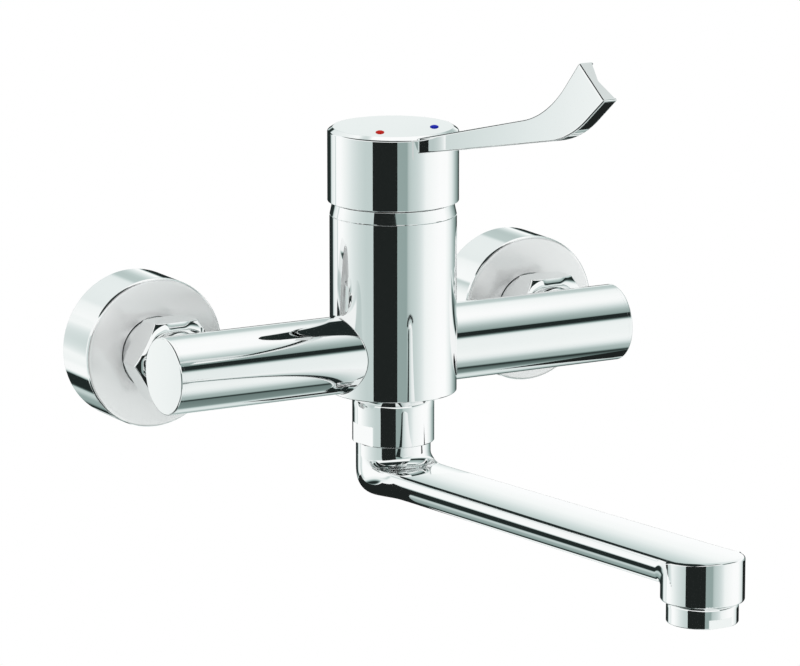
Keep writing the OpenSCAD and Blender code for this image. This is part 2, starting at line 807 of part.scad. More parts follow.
module spout() {
    arm_end = spout_reach / cos(arm_rise);
    slice = 0.02;
    color(CHROME)
    at_body() difference() {
        union() {
            // Spigot, stub and the rounded bottom of the bend
            disc(spigot_r, stub_top - cut, outlet_bore_top - 1);
            rotate_extrude()
                polygon(concat(
                    [[0, stub_bottom], [stub_r - elbow_r, stub_bottom]],
                    [
                        for (a = [-75:15:0])
                            [stub_r - elbow_r * (1 - cos(a)), stub_bottom + elbow_r * (1 + sin(a))]
                    ],
                    [[stub_r, stub_top], [0, stub_top]]));
            // Arm and drum, cut off level with the arm's top face
            intersection() {
                union() {
                    on_arm_plane() hull() {
                        rotate([90, 0, 0]) linear_extrude(height = slice) arm_section(arm_root_w);
                        translate([0, -arm_end, 0]) rotate([90, 0, 0])
                            linear_extrude(height = slice) arm_section(arm_end_w);
                    }
                    translate([0, -spout_reach, 0]) disc(drum_r, drum_bottom, 0);
                }
                on_arm_plane() translate([-50, -2 * spout_reach, -100]) cube([100, 4 * spout_reach, 100]);
            }
        }
        // Waterway down the spigot, along the arm and into the outlet
        disc(spigot_bore_r, -arm_drop - waterway_drop, outlet_bore_top);
        on_arm_plane() translate([0, 0, -waterway_drop]) rotate([90, 0, 0])
            linear_extrude(height = arm_end - 5) polygon([
                for (side = [1, -1], a = [-90:15:90])
                    side * [waterway_half + waterway_r * cos(a), waterway_r * sin(a)]
            ]);
        translate([0, -spout_reach, 0]) {
            disc(aerator_thread_r + fit, drum_bottom - cut, outlet_seat);
            disc(outlet_chamber_r, drum_bottom, drum_bottom + drum_h - 2.6);
        }
        for (z = seal_heights()) tube(spigot_r + cut, spigot_r - 1.6, z - 0.95, z + 0.95);
        tube(spigot_r + cut, clip_groove_r, clip_bottom() - 0.05, clip_bottom() + clip_t + 0.05);
    }
}

function seal_heights() = [outlet_bore_top - 3.2, outlet_bore_top - 6.8];
function clip_bottom() = collar_bottom + collar_lip + 0.05;

module spout_seals() {
    wire_r = 0.79;
    color(RUBBER)
    at_body() for (z = seal_heights())
        translate([0, 0, z]) rotate_extrude() translate([spigot_r - 0.78, 0]) circle(r = wire_r, $fn = 32);
}

module spout_clip() {
    gap = 3;
    color(WHITE_PLASTIC)
    at_body() difference() {
        tube(clip_r, clip_groove_r + fit, clip_bottom(), clip_bottom() + clip_t);
        translate([-gap / 2, 0, clip_bottom() - cut]) cube([gap, 20, clip_t + 2 * cut]);
    }
}

module at_outlet() {
    translate([0, -wall_distance - spout_reach, 0]) children();
}

module aerator_shell() {
    lip = 1.1;
    flat_h = 3;
    color(CHROME)
    at_outlet() difference() {
        union() {
            rotate_extrude()
                polygon([
                    [0, aerator_bottom], [aerator_r - 0.5, aerator_bottom], [aerator_r, aerator_bottom + 0.5],
                    [aerator_r, drum_bottom], [0, drum_bottom]
                ]);
            disc(aerator_thread_r, drum_bottom - cut, drum_bottom + aerator_neck_l);
        }
        disc(insert_r, aerator_bottom + lip, drum_bottom + aerator_neck_l + cut);
        disc(insert_r - 0.8, aerator_bottom - cut, drum_bottom);
        // Two spanner flats at the lower edge
        for (side = [-1, 1]) translate([0, side * (aerator_af / 2 + 5), aerator_bottom + flat_h / 2 - cut])
            cube([40, 10, flat_h + 2 * cut], center = true);
    }
}

module aerator_insert() {
    pitch = 2.6;
    hole_r = 0.95;
    bottom = aerator_bottom + 1.1;
    top = drum_bottom + aerator_neck_l - 0.5;
    color(WHITE_PLASTIC)
    at_outlet() difference() {
        disc(insert_r - fit, bottom, top);
        for (row = [-3:3], col = [-4:4])
            let(x = (col + (row % 2 == 0 ? 0 : 0.5)) * pitch, y = row * pitch * sin(60))
            if (sqrt(x * x + y * y) < insert_r - 1.7)
                translate([x, y, 0]) disc(hole_r, bottom - cut, top + cut);
    }
}

module aerator_washer() {
    bottom = drum_bottom + aerator_neck_l;
    color(RUBBER)
    at_outlet() tube(aerator_thread_r - 0.1, outlet_chamber_r, bottom, bottom + aerator_washer_t);
}

body_casting();
end_cover(-1);  // left_end_cover
end_cover(1);  // right_end_cover
inlet_nipple(-1);  // left_inlet_nipple
inlet_nipple(1);  // right_inlet_nipple
union_nut(-1);  // left_union_nut
union_nut(1);  // right_union_nut
washer(-1);  // left_washer
washer(1);  // right_washer
strainer(-1);  // left_strainer
strainer(1);  // right_strainer
connector(-1);  // left_connector
connector(1);  // right_connector
escutcheon(-1);  // left_escutcheon
escutcheon(1);  // right_escutcheon
check_valve(-1);  // left_check_valve
check_valve(1);  // right_check_valve
check_poppet(-1);  // left_check_poppet
check_poppet(1);  // right_check_poppet
check_spring(-1);  // left_check_spring
check_spring(1);  // right_check_spring
cartridge_base();
port_seals();
fixed_disc();
moving_disc();
disc_carrier();
cartridge_housing();
cartridge_rotor();
tilt_pin();
temperature_limiter();
retaining_nut();
trim_ring();
lever_stem();
lever_handle();
grub_screw();
hot_mark();
cold_mark();
collar_nut();
spout();
spout_seals();
spout_clip();
aerator_shell();
aerator_insert();
aerator_washer();
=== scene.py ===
"""Looks of the wall-mounted sink mixer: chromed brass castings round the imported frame."""
import math
import bpy
import numpy as np
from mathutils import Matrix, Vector


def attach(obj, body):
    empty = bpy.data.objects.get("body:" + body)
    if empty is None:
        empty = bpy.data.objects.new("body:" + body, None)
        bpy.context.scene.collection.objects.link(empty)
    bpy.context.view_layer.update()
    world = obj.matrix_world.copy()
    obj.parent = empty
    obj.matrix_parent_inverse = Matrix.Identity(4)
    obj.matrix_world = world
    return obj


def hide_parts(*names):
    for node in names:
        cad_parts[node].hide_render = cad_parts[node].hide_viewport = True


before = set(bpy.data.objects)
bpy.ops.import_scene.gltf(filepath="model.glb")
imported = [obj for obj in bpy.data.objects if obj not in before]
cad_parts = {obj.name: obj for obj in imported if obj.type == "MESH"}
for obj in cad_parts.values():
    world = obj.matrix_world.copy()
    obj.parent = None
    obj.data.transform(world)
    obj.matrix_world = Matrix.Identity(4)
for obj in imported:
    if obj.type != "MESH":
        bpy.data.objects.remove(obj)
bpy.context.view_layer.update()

# Sizes in millimetres, in the frame of the part: x along the wall, y into the wall, z up.
MM = 0.001
BODY_Y = -53.0          # axis of the upright body
INLET_X = 75.0          # inlet axes, each side of the middle
FULL = math.tau


# ---------------------------------------------------------------- shapes as arrays

def unit(v):
    """Each vector of the array divided by its length."""
    return v / np.maximum(np.linalg.norm(v, axis=-1, keepdims=True), 1e-12)


def outline(corners, closed=False, step=8.0):
    """Straight runs through the corners (across, along, radius), each corner an arc that touches both
    of its runs. Gives points and the normals on the right of the way along it, which is outside."""
    c = np.array([(*p, 0.05)[:3] for p in corners], float)
    n, points, normals = len(c), [], []
    right = lambda d: np.array([d[1], -d[0]])
    for i in range(n):
        a = unit(c[i, :2] - c[i - 1, :2]) if (i or closed) else None
        b = unit(c[(i + 1) % n, :2] - c[i, :2]) if (i < n - 1 or closed) else None
        if a is None or b is None:
            points.append(c[i:i + 1, :2])
            normals.append(right(b if a is None else a)[None])
            continue
        turn = math.atan2(a[0] * b[1] - a[1] * b[0], a @ b)
        radius = c[i, 2]
        t = np.linspace(0, turn, max(2, math.ceil(math.degrees(abs(turn)) / step)) + 1)[:, None]
        out = right(a) * np.cos(t) + np.array([a[0], a[1]]) * np.sin(t)
        side = math.copysign(1, turn)
        centre = c[i, :2] - a * radius * math.tan(abs(turn) / 2) - side * radius * right(a)
        points.append(centre + side * radius * out)
        normals.append(out)
    points, normals = np.concatenate(points), np.concatenate(normals)
    if closed:
        points, normals = np.vstack([points, points[:1]]), np.vstack([normals, normals[:1]])
    return points, normals


WAYS = {"z": ((1, 0, 0), (0, 1, 0), (0, 0, 1)), "x": ((0, 1, 0), (0, 0, 1), (1, 0, 0)),
        "-x": ((0, 1, 0), (0, 0, 1), (-1, 0, 0)), "-y": ((1, 0, 0), (0, 0, 1), (0, -1, 0))}


def ring_of(count):
    """Angles once round, the first repeated at the end."""
    return np.linspace(0, FULL, count + 1)


def revolve(shape, way="z", at=(0, 0, 0), angles=ring_of(160)):
    """An outline (distance from the axis, place along it) turned about a line: each point goes to
    distance times (cos, sin) of the angle across the line, and keeps its place along it.
    way is z, x, -x, or -y, the direction that 'along' points in."""
    across_a, across_b, along = WAYS[way]
    round_ = np.cos(angles)[:, None] * np.array(across_a) + np.sin(angles)[:, None] * np.array(across_b)
    lay = lambda p: p[:, :1, None] * round_[None] + p[:, 1:, None] * np.array(along, float)
    return lay(shape[0]) + np.array(at, float), lay(shape[1])


def radial(reach, angles, places, way="z", at=(0, 0, 0), ends=(0.0, 0.0)):
    """A skin whose distance from its axis is reach(angle, place). Normals come from the two slopes of
    reach. Flat ends close it, in to the given radii."""
    across_a, across_b, along = (np.array(v, float) for v in WAYS[way])
    a, h = np.meshgrid(angles, places)
    e = 0.004
    r = reach(a, h)
    turn = (reach(a + e, h) - reach(a - e, h)) / (2 * e)
    rise = (reach(a, h + e) - reach(a, h - e)) / (2 * e)
    out = np.cos(a)[..., None] * across_a + np.sin(a)[..., None] * across_b
    side = np.cos(a)[..., None] * across_b - np.sin(a)[..., None] * across_a
    skin = r[..., None] * out + h[..., None] * along + np.array(at, float)
    patches = [(skin, unit(out - (turn / r)[..., None] * side - rise[..., None] * along))]
    for row, inner, sign in ((0, ends[0], -1.0), (-1, ends[1], 1.0)):
        rim = inner * out[row] + h[row][:, None] * along + np.array(at, float)
        patches.append((np.stack([skin[row], rim]), np.broadcast_to(sign * along, (2, *rim.shape))))
    return patches


def piece(name, patches, material, body, slot, replaces=()):
    """One mesh from patches of (points, normals) on grids, in millimetres. Points that fall together
    are welded, which closes seams and poles, and every face is wound to agree with its normals."""
    points, normals, faces, base = [], [], [], 0
    for p, n in patches:
        rows, cols = p.shape[:2]
        points.append(p.reshape(-1, 3))
        normals.append(n.reshape(-1, 3))
        i = (np.arange(rows - 1)[:, None] * cols + np.arange(cols - 1)).ravel() + base
        faces.append(np.stack([i, i + 1, i + cols + 1, i + cols], 1))
        base += rows * cols
    return from_arrays(name, np.concatenate(points), np.concatenate(normals), np.concatenate(faces),
                       material, body, replaces)


def from_arrays(name, points, normals, faces, material, body, replaces=()):
    """Welds, drops faces without area, winds the rest outwards and makes the object."""
    key = np.round(points * 2000).astype(np.int64)
    _, first, index = np.unique(key, axis=0, return_index=True, return_inverse=True)
    index = index.ravel()
    welded = points[first]
    total = np.zeros_like(welded)
    np.add.at(total, index, normals)
    faces = index[faces]
    a, b = welded[faces[:, 2]] - welded[faces[:, 0]], welded[faces[:, 3]] - welded[faces[:, 1]]
    inward = np.einsum("ij,ij->i", np.cross(a, b), normals_of(total, faces)) < 0
    faces[inward] = faces[inward][:, ::-1]
    apart = faces != np.roll(faces, 1, axis=1)
    corners = apart.sum(1)
    quads, thirds = faces[corners == 4], faces[corners == 3]
    thirds = thirds[apart[corners == 3]].reshape(-1, 3)
    crossed = (quads[:, 0] == quads[:, 2]) | (quads[:, 1] == quads[:, 3])
    quads = quads[~crossed]
    mesh = bpy.data.meshes.new(name)
    mesh.from_pydata((welded * MM).tolist(), [], quads.tolist() + thirds.tolist())
    mesh.shade_smooth()
    mesh.normals_split_custom_set_from_vertices(unit(total).tolist())
    mesh.materials.append(material)
    made = bpy.data.objects.new(name, mesh)
    bpy.context.scene.collection.objects.link(made)
    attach(made, body)
    if replaces:
        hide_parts(*replaces)
    return made


def normals_of(total, faces):
    """The sum of the normals at each face's corners."""
    return total[faces].sum(1)


def mirrored(patches):
    """The same patches on the other side of x = 0."""
    flip = np.array([-1.0, 1, 1])
    return [(p * flip, n * flip) for p, n in patches]


# ---------------------------------------------------------------- implicit castings

def hollow_corner(a, b, radius):
    """Union of two signed distances with a concave fillet of that radius."""
    reach = np.hypot(np.maximum(radius - a, 0), np.maximum(radius - b, 0))
    return np.maximum(radius, np.minimum(a, b)) - reach


def round_corner(a, b, radius):
    """Intersection of two signed distances with a rounded edge of that radius."""
    reach = np.hypot(np.maximum(a + radius, 0), np.maximum(b + radius, 0))
    return np.minimum(-radius, np.maximum(a, b)) + reach


def slope(f, p, e=0.02):
    """Gradient of f at the points p, by central differences."""
    return np.stack([(f(p + e * d) - f(p - e * d)) / (2 * e) for d in np.eye(3)], -1)


def blended(f, g, radius):
    """Union of two bodies whose fillet shrinks as their surfaces run alike, so that nothing swells."""
    def made(p):
        a, b = f(p), g(p)
        alike = np.einsum("...i,...i", unit(slope(f, p)), unit(slope(g, p)))
        return hollow_corner(a, b, np.maximum(radius * np.sqrt(np.clip(1 - alike, 0, 1)), 1e-3))
    return made


NEAR = 2.5              # how close to nought a cheap guess calls for the exact value
LONGEST_MOVE = 0.4      # limit of one step towards the surface


def net(f, rough, grid):
    """The surface f = 0 as a net: one point in each grid cell that it passes through, the mean of its
    crossings with the cell's edges, then moved along the slope of f until f is nought there, and one
    face round each grid edge that it crosses. grid holds the corner points, and rough is a cheap guess
    at f, which is worked out only where the guess is small. Gives points, normals, faces."""
    value = rough(grid)
    near = np.abs(value) < NEAR
    value[near] = f(grid[near])
    shape = np.array(value.shape)
    total = np.zeros((*(shape - 1), 3))
    count = np.zeros(shape - 1)
    crossings = []
    for axis in range(3):
        lo = [slice(None)] * 3
        hi = [slice(None)] * 3
        lo[axis], hi[axis] = slice(None, -1), slice(1, None)
        a, b = value[tuple(lo)], value[tuple(hi)]
        cut = (a < 0) != (b < 0)
        t = np.where(cut, a / np.where(cut, a - b, 1), 0)[..., None]
        where = np.where(cut[..., None], grid[tuple(lo)] * (1 - t) + grid[tuple(hi)] * t, 0)
        crossings.append((axis, cut))
        others = [k for k in range(3) if k != axis]
        for i in (0, 1):
            for j in (0, 1):
                part = [slice(None)] * 3
                part[others[0]] = slice(i, shape[others[0]] - 1 + i)
                part[others[1]] = slice(j, shape[others[1]] - 1 + j)
                total += where[tuple(part)]
                count += cut[tuple(part)]
    held = count > 0
    number = np.full(count.shape, -1)
    number[held] = np.arange(held.sum())
    points = total[held] / count[held][:, None]
    faces = []
    for axis, cut in crossings:
        others = [k for k in range(3) if k != axis]
        where = np.argwhere(cut)
        inside = np.all((where[:, others] > 0) & (where[:, others] < (shape - 1)[others]), axis=1)
        where = where[inside]
        ring = []
        for i, j in ((-1, -1), (0, -1), (0, 0), (-1, 0)):
            cell = where.copy()
            cell[:, others[0]] += i
            cell[:, others[1]] += j
            ring.append(number[tuple(cell.T)])
        faces.append(np.stack(ring, 1))
    for _ in range(6):
        g = slope(f, points)
        away = (f(points) / np.maximum((g * g).sum(-1), 1e-6))[:, None]
        points = points - away.clip(-LONGEST_MOVE, LONGEST_MOVE) * g
    return points, unit(slope(f, points)), np.concatenate(faces)


# ---------------------------------------------------------------- finishes

def linear(hex_code):
    """An sRGB hex colour as linear RGBA."""
    c = np.array([int(hex_code[i:i + 2], 16) for i in (0, 2, 4)]) / 255
    return (*np.where(c <= 0.04045, c / 12.92, ((c + 0.055) / 1.055) ** 2.4), 1.0)


def add(tree, kind, inputs=None, **settings):
    """Adds one node, sets it up, and links or fills its inputs."""
    made = tree.nodes.new(kind)
    for key, value in settings.items():
        setattr(made, key, value)
    for key, value in (inputs or {}).items():
        if isinstance(value, bpy.types.NodeSocket):
            tree.links.new(value, made.inputs[key])
        else:
            made.inputs[key].default_value = value
    return made


def finish(name, colour, other, rough, rough_spread=0.02, grain_mm=3.0, bump_mm=0.0,
           stretch=(1, 1, 1), **sockets):
    """A surface whose colour wanders between two hex values over grain_mm, whose roughness wanders by
    rough_spread, and whose height wanders by bump_mm."""
    m = bpy.data.materials.new(name)
    m.use_nodes = True
    tree = m.node_tree
    shader = tree.nodes["Principled BSDF"]
    place = add(tree, "ShaderNodeTexCoord").outputs["Object"]
    place = add(tree, "ShaderNodeMapping", {"Vector": place, "Scale": stretch}).outputs[0]
    grain = add(tree, "ShaderNodeTexNoise", {"Vector": place, "Scale": 1 / (grain_mm * MM), "Detail": 4.0})
    mix = add(tree, "ShaderNodeMix", data_type="RGBA")
    tree.links.new(grain.outputs["Fac"], mix.inputs[0])
    mix.inputs[6].default_value, mix.inputs[7].default_value = linear(colour), linear(other)
    tree.links.new(mix.outputs[2], shader.inputs["Base Color"])
    spread = add(tree, "ShaderNodeMapRange", {"Value": grain.outputs["Fac"],
                                              "To Min": rough - rough_spread,
                                              "To Max": rough + rough_spread})
    tree.links.new(spread.outputs[0], shader.inputs["Roughness"])
    if bump_mm:
        bump = add(tree, "ShaderNodeBump",
                   {"Height": grain.outputs["Fac"], "Distance": bump_mm * MM, "Strength": 1.0})
        tree.links.new(bump.outputs[0], shader.inputs["Normal"])
    for key, value in sockets.items():
        shader.inputs[key.replace("_", " ")].default_value = value
    return m


# Mirror chrome over polished brass: a hair of unevenness in the gloss, no tint of its own
chrome = finish("chrome_on_polished_brass", "F6F7F7", "F2F3F3", 0.03, 0.012, 26.0, Metallic=1.0)
# The roses' faces: pearl chrome over a blasted face, soft and pale like satin, with a mirror rim round it
rose_chrome = finish("satin_chrome_face", "F6F7F7", "F2F3F3", 0.03, 0.012, 26.0, Metallic=1.0)
tree = rose_chrome.node_tree
rose_shader = tree.nodes["Principled BSDF"]
place = add(tree, "ShaderNodeTexCoord").outputs["Object"]
depth = add(tree, "ShaderNodeSeparateXYZ", {"Vector": place}).outputs[1]
FACE_Y, RIM_Y = -18.85 * MM, -18.4 * MM     # the satin ends where the face rounds into the rim


def face_to_rim(face, rim):
    """A value that changes from the rose's face to its rim."""
    return add(tree, "ShaderNodeMapRange", {"Value": depth, "From Min": FACE_Y, "From Max": RIM_Y,
                                            "To Min": face, "To Max": rim}).outputs[0]


grain = tree.nodes["Noise Texture"].outputs["Fac"]
low, high = face_to_rim(0.22, 0.02), face_to_rim(0.27, 0.04)
spread = add(tree, "ShaderNodeMapRange", {"Value": grain, "To Min": low, "To Max": high}).outputs[0]
tree.links.new(spread, rose_shader.inputs["Roughness"])
tree.links.new(face_to_rim(0.35, 1.0), rose_shader.inputs["Metallic"])
# The rest is inside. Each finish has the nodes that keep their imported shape.
INSIDE = {
    # Turned brass, left bare: warm yellow with fine turning marks
    finish("turned_brass", "D9BC83", "CBAA6C", 0.26, 0.06, 0.5, 0.004, (1, 1, 5), Metallic=1.0):
        ["retaining_nut"],
    # Stainless steel, drawn and ground: grey with a soft streak
    finish("ground_stainless_steel", "C9CBCC", "B9BCBE", 0.3, 0.08, 0.6, 0.003, (1, 1, 6), Metallic=1.0):
        ["left_strainer", "right_strainer", "left_check_spring", "right_check_spring", "tilt_pin",
         "lever_stem", "grub_screw"],
    # EPDM rubber: near black, dull, with a dusty grain
    finish("epdm_rubber", "1D1D1F", "28282A", 0.72, 0.1, 0.8, 0.01):
        ["left_washer", "right_washer", "port_seals", "spout_seals", "aerator_washer"],
    # Acetal, natural: milky white and slightly waxy
    finish("natural_acetal", "ECEAE3", "E2E0D8", 0.42, 0.06, 2.0, 0.003, Subsurface_Weight=0.15,
           Subsurface_Radius=(0.003, 0.003, 0.0025)):
        ["left_check_valve", "right_check_valve", "spout_clip", "cartridge_rotor", "disc_carrier",
         "aerator_insert"],
    # Glass-filled nylon: mid grey with a speckle of fibres
    finish("glass_filled_nylon", "84888A", "75797C", 0.5, 0.08, 0.4, 0.006):
        ["cartridge_base", "cartridge_housing", "left_check_poppet", "right_check_poppet"],
    # Alumina, lapped: off-white, dense and almost polished
    finish("lapped_alumina", "F0ECE2", "E6E1D5", 0.14, 0.04, 1.0, 0.001, Coat_Weight=0.4,
           Coat_Roughness=0.08):
        ["fixed_disc", "moving_disc"],
    # Red acetal, so that the limiter is found when the cap is off
    finish("red_acetal", "B23A26", "A33321", 0.45, 0.06, 1.5, 0.003):
        ["temperature_limiter"],
}
for look, nodes in INSIDE.items():
    for name in nodes:
        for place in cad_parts[name].material_slots:
            place.material = look
# Domed dots of dull enamel, which keep their full colour when seen from low down: one red, one blue
red_enamel = finish("red_enamel", "CF2A20", "BE1F18", 0.6, 0.05, 0.8, 0.002, Specular_IOR_Level=0.08)
blue_enamel = finish("blue_enamel", "1C2BBE", "1522A6", 0.6, 0.05, 0.8, 0.002, Specular_IOR_Level=0.08)


# ---------------------------------------------------------------- camera

camera = bpy.data.objects.new("camera", bpy.data.cameras.new("camera"))
bpy.context.scene.collection.objects.link(camera)
bpy.context.scene.camera = camera
azimuth, height = math.radians(29.5), math.radians(12.32)
looking = Vector((math.sin(azimuth) * math.cos(height), math.cos(azimuth) * math.cos(height),
                  -math.sin(height)))
camera.location = (-0.9324, -1.7058, 0.4199)
camera.rotation_mode = "QUATERNION"
camera.rotation_quaternion = looking.to_track_quat("-Z", "Y")
camera.data.sensor_width = 36
camera.data.lens = 252.4
camera.data.clip_end = 50

# ---------------------------------------------------------------- body and bar

BODY_R, BAR_R, JOIN = 22.0, 13.4, 0.45      # body, bar, fillet where the two castings meet
BODY_LOW, BODY_HIGH, EDGE = -14.5, 47.5, 0.4
BAR_END = 87.9


def body_side():
    """One half of the body with its half of the bar. A ball of radius JOIN rolls in the corner between
    the two cylinders, its centre at JOIN from both: bar, fillet and body meet on the ball's two touching
    lines. The body's patch runs from there out to the straight sides of the half cylinder."""
    count = 256
    t = np.linspace(0, FULL, count + 1)
    cos, sin, zero = np.cos(t), np.sin(t), np.zeros_like(t)
    reach = BAR_R + JOIN
    ball = np.stack([np.sqrt((BODY_R + JOIN) ** 2 - (reach * cos) ** 2), reach * cos, reach * sin], -1)
    to_bar = np.stack([zero, -cos, -sin], -1)
    to_body = -np.stack([ball[:, 0], ball[:, 1], zero], -1) / (BODY_R + JOIN)
    share = np.linspace(0, 1, 6)[:, None, None]
    toward = unit((1 - share) * to_bar + share * to_body)
    fillet = ball + JOIN * toward
    end = outline([(BAR_R, BAR_END - 1), (BAR_R, BAR_END, 0.01), (0, BAR_END)])
    bar_end = revolve(end, "x", angles=t)
    run = np.linspace(0, 1, 5)[:, None, None]
    bar = bar_end[0][0] * (1 - run) + fillet[0] * run
    bar_normal = np.broadcast_to(-to_bar, bar.shape)
    start = np.stack([np.arctan2(fillet[-1][:, 1], fillet[-1][:, 0]), fillet[-1][:, 2]], -1)
    low, high, q = BODY_LOW + EDGE, BODY_HIGH - EDGE, count // 8
    up = np.linspace(low, high, 2 * q + 1)
    turn = np.linspace(math.pi / 2, -math.pi / 2, 2 * q + 1)
    rim = np.concatenate([np.stack([np.full(q, math.pi / 2), up[q:-1]], -1),
                          np.stack([turn, np.full(2 * q + 1, high)], -1)[:-1],
                          np.stack([np.full(2 * q, -math.pi / 2), up[::-1][:-1]], -1),
                          np.stack([turn[::-1], np.full(2 * q + 1, low)], -1)[:-1],
                          np.stack([np.full(q, math.pi / 2), up[:q]], -1),
                          [[math.pi / 2, up[q]]]])
    share = np.linspace(0, 1, 30)[:, None, None]
    lie = start * (1 - share) + rim * share
    out = np.stack([np.cos(lie[..., 0]), np.sin(lie[..., 0]), np.zeros(lie.shape[:2])], -1)
    skin = BODY_R * out + lie[..., 1:] * np.array([0, 0, 1.0])
    return [bar_end, (bar, bar_normal), (fillet, -toward), (skin, out)]


def on_body_axis(patches):
    """The same patches, shifted so that the body's axis is theirs."""
    return [(p + np.array([0, BODY_Y, 0]), n) for p, n in patches]


around_body = np.linspace(-math.pi / 2, 1.5 * math.pi, 129)
half = body_side()
low_cap = revolve(outline([(0, BODY_LOW), (BODY_R, BODY_LOW, EDGE), (BODY_R, BODY_LOW + EDGE)]),
                  angles=around_body)
high_cap = revolve(outline([(BODY_R, BODY_HIGH - EDGE), (BODY_R, BODY_HIGH, 0.03), (0, BODY_HIGH)]),
                   angles=around_body)
boss = outline([(0, 42), (11, 42, 0.1), (11, 38.5, 0.5), (0, 38.5)][::-1])
bosses = [revolve(boss, "-y", (x, 0, 0)) for x in (-INLET_X, INLET_X)]
piece("body_and_bar", on_body_axis(half + mirrored(half) + [low_cap, high_cap]) + bosses,
      chrome, "mixer_body", "chrome", ["body_casting"])

for side, way in (("left", "-x"), ("right", "x")):
    cover = outline([(0, BAR_END), (BAR_R, BAR_END, 0.01), (BAR_R, 89.5, 0.6), (0, 89.5)])
    piece(f"{side}_bar_cover", [revolve(cover, way, (0, BODY_Y, 0))],
          chrome, "mixer_body", "chrome", [f"{side}_end_cover"])

# ---------------------------------------------------------------- wall unions, one at each inlet

NUT_FLAT = 14.0         # half the width across flats
NUT_NEAR, NUT_FAR = 25.0, 36.0
PITCH = 1.814           # of the pipe thread
WATERWAY_R = 6.5        # through the unions


def nut_reach(angle, place):
    """Hexagon of flat distance NUT_FLAT cut by a cone at each end, 33 degrees from square to the axis. A
    power mean of the two distances rounds the edges a little."""
    face = np.remainder(angle, math.pi / 3) - math.pi / 6
    flat = NUT_FLAT / np.cos(face)
    from_end = np.minimum(place - NUT_NEAR, NUT_FAR - place)
    cone = 14.5 + 1.55 * np.maximum(from_end, 0) + 0.1
    return (flat ** -90.0 + cone ** -90.0) ** (-1 / 90.0)


def thread_reach(angle, place):
    """Pipe thread: a crest of 10.44 and a V groove 0.9 deep that climbs one pitch a turn. It runs out to
    the groove's depth over the last millimetre at each end."""
    crest, deep = 10.44, 0.9
    phase = np.remainder(place / PITCH + angle / FULL, 1.0)
    groove = deep * np.clip(1 - np.abs(phase - 0.5) * 2.6, 0, 1)
    runout = np.clip(np.abs(place + 8.0) - 7.0, 0, 1)
    return crest - groove * (1 - runout) - deep * runout


def bore(start, end, at):
    """The wall of the waterway between two places, seen from inside."""
    wall = np.array([[WATERWAY_R, start], [WATERWAY_R, end]]), np.array([[-1.0, 0], [-1, 0]])
    return revolve(wall, "-y", at)


near_corner = np.array([-0.02, -0.01, 0, 0.01, 0.02])
nut_angles = np.sort(np.concatenate([ring_of(180), *[k * math.pi / 3 + near_corner for k in range(6)]]))
nut_places = np.unique(np.concatenate([np.linspace(NUT_NEAR, 27.2, 18), np.linspace(27.2, 33.8, 6),
                                       np.linspace(33.8, NUT_FAR, 18)]))
neck = outline([(WATERWAY_R, 38.5), (10.2, 38.5, 0.2), (10.2, 33.0, 0.4), (12.15, 33.0, 0.3),
                (12.15, 30.5, 0.3), (WATERWAY_R, 30.5)])
neck = (neck[0], -neck[1])
head = outline([(WATERWAY_R, 28.45), (12.65, 28.45, 0.4), (12.65, 17.8, 0.1), (15.05, 17.8, 0.3),
                (15.05, 14.8, 0.3), (WATERWAY_R, 14.8)][::-1])
tail = outline([(WATERWAY_R, 0.0), (11.38, 0.0, 0.1), (11.38, 14.9, 0.1), (WATERWAY_R, 14.9)])
rose = outline([(25.0, 0, 0.2), (26.2, 0, 0.2), (26.2, 19, 1.4), (12.85, 19, 0.25), (12.85, 17.8, 0.2),
                (25.0, 17.8, 0.6)], closed=True)

for side, x in (("left", -INLET_X), ("right", INLET_X)):
    at, low = (x, 0, 0), (x, 0, -8.0)
    fixed = chrome, "mixer_body", "chrome"
    piece(f"{side}_nipple", [revolve(neck, "-y", at), bore(38.5, 30.5, at)], *fixed, [f"{side}_inlet_nipple"])
    piece(f"{side}_nut", radial(nut_reach, nut_angles, nut_places, "-y", at, (12.75, 10.5)),
          *fixed, [f"{side}_union_nut"])
    thread = radial(thread_reach, ring_of(96), np.linspace(-16.0, 0.0, 150), "-y", low,
                    (WATERWAY_R, WATERWAY_R))
    piece(f"{side}_wall_connector", [revolve(head, "-y", at), bore(14.8, 28.45, at), revolve(tail, "-y", low),
                                     bore(0, 14.9, low), bore(-16, 0, low), *thread],
          *fixed, [f"{side}_connector"])
    piece(f"{side}_rose", [revolve(rose, "-y", at, ring_of(200))],
          rose_chrome, "mixer_body", "chrome", [f"{side}_escutcheon"])

# ---------------------------------------------------------------- ring, cap and lever

centre = (0, BODY_Y, 0)
ring = outline([(19.2, 47.5, 0.2), (21.8, 47.5, 0.02), (21.92, 47.85, 0.15), (21.0, 52.1, 0.5),
                (20.1, 52.1, 0.3), (20.1, 49.2, 0.1), (19.2, 49.2, 0.1)], closed=True)
piece("tapered_ring", [revolve(ring, "z", centre)], chrome, "mixer_body", "chrome", ["trim_ring"])

CAP_R, FIN, FLARE = 22.7, 2.7, 0.5          # cap, half the fin's thickness, fillet where they meet
cap = outline([(0, 57), (9, 57, 0.3), (9, 72, 0.6), (21.7, 72, 0.6), (21.7, 52.4, 0.3), (CAP_R, 52.4, 0.35),
               (CAP_R, 76.9, 0.9), (20.8, 78.2, 0.35), (0, 78.2)])
# The fin's two edge lines, in the plane of the lever: straight run, its rise, bend radius, its turn, start
TOP_LINE = 70, 13.8, 57, 32, (CAP_R, 77.85)
LOW_LINE = 87.9, 11.8, 57, 25, (CAP_R, 72.35)
TOP_TIP, LOW_TIP = 12.3, 13.8               # straight ends beyond the bends


